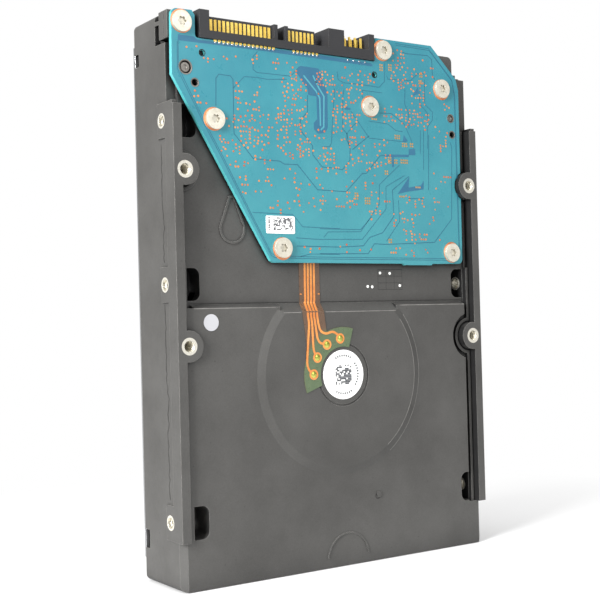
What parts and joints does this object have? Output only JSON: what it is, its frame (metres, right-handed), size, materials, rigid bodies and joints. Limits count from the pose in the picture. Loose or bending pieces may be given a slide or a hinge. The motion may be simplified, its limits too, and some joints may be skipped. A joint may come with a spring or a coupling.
{
  "type": "hard disk drive",
  "caption": "3.5-inch hard disk drive with a coated die-cast base, teal circuit board, edge connector and a working spindle, head actuator and latch inside",
  "frame": {"origin": "centre of the footprint of the standing drive, on the plane of its rest end", "axes": "+Z along the length towards the connector end, +X across the width, -Y towards the circuit board side"},
  "size_m": [0.1016, 0.0262, 0.147],
  "materials": {
    "cast_coat": "dark grey coated die casting, satin",
    "cover_alloy": "brushed satin aluminium",
    "rubber_seal": "matt black rubber",
    "screw_silver": "plated steel, satin",
    "label_white": "matt white label",
    "filter_felt": "white felt",
    "board_teal": "teal solder mask, semi gloss",
    "plug_black": "black moulded plastic",
    "contact_gold": "gold plated",
    "chip_black": "black moulded package",
    "part_tan": "small ceramic components",
    "foam_grey": "dark foam sheet",
    "flex_film": "translucent amber film",
    "solder": "solder with green tint",
    "steel": "machined steel",
    "bronze": "sintered bronze",
    "copper_wire": "enamelled copper winding",
    "hub_alloy": "turned aluminium",
    "platter_mirror": "polished disc",
    "magnet_nickel": "nickel plated magnet",
    "ivory_plastic": "ivory engineering plastic"
  },
  "bodies": {
    "root": {"base_casting": "cast_coat", "top_cover": "cover_alloy", "cover_gasket": "rubber_seal", "cover_screws": "screw_silver", "tie_screws": "screw_silver", "cover_label": "label_white", "breather_filter": "filter_felt", "circuit_board": "board_teal", "board_screws": "screw_silver", "sata_housing": "plug_black", "sata_contacts": "contact_gold", "jumper_pins": "contact_gold", "controller_chip": "chip_black", "memory_chip": "chip_black", "motor_driver_chip": "chip_black", "board_components": "part_tan", "board_insulator": "foam_grey", "head_connector": "plug_black", "motor_flex": "flex_film", "motor_flex_pads": "solder", "motor_label": "label_white", "hole_seal": "label_white", "spindle_shaft": "steel", "motor_stator": "steel", "motor_coils": "copper_wire", "pivot_shaft": "steel", "pivot_inner_races": "steel", "flex_bracket": "hub_alloy", "lower_yoke": "steel", "upper_yoke": "steel", "lower_magnet": "magnet_nickel", "upper_magnet": "magnet_nickel", "yoke_posts": "steel", "load_ramp": "ivory_plastic", "ramp_screw": "screw_silver", "latch_pin": "steel", "crash_stops": "rubber_seal", "recirculation_filter": "filter_felt"},
    "spindle": {"spindle_hub": "hub_alloy", "spindle_sleeve": "bronze", "rotor_magnet": "magnet_nickel", "platter_1": "platter_mirror", "platter_2": "platter_mirror", "platter_3": "platter_mirror", "platter_4": "platter_mirror", "platter_spacers": "hub_alloy", "platter_clamp": "hub_alloy", "clamp_screws": "screw_silver"},
    "actuator": {"arm_block": "hub_alloy", "voice_coil": "copper_wire", "coil_holder": "ivory_plastic", "suspensions": "steel", "head_sliders": "chip_black", "pivot_outer_races": "steel", "pivot_balls": "steel", "preamp_chip": "chip_black", "actuator_flex": "flex_film"},
    "latch": {"actuator_latch": "ivory_plastic"}
  },
  "joints": [
    {"name": "spindle_spin", "type": "hinge", "parent": "root", "child": "spindle", "pos_m": [0, 0, 0.052], "axis": [0, -1, 0], "continuous": true},
    {"name": "actuator_swing", "type": "hinge", "parent": "root", "child": "actuator", "pos_m": [0.012, 0, 0.11], "axis": [0, -1, 0], "range_deg": [0, 34], "deforming": ["actuator_flex"]},
    {"name": "latch_swing", "type": "hinge", "parent": "root", "child": "latch", "pos_m": [0.0396, 0, 0.13], "axis": [0, 1, 0], "range_deg": [0, 9], "stiffness_Nm_per_rad": 0.0001, "springref_deg": -5.73}
  ]
}
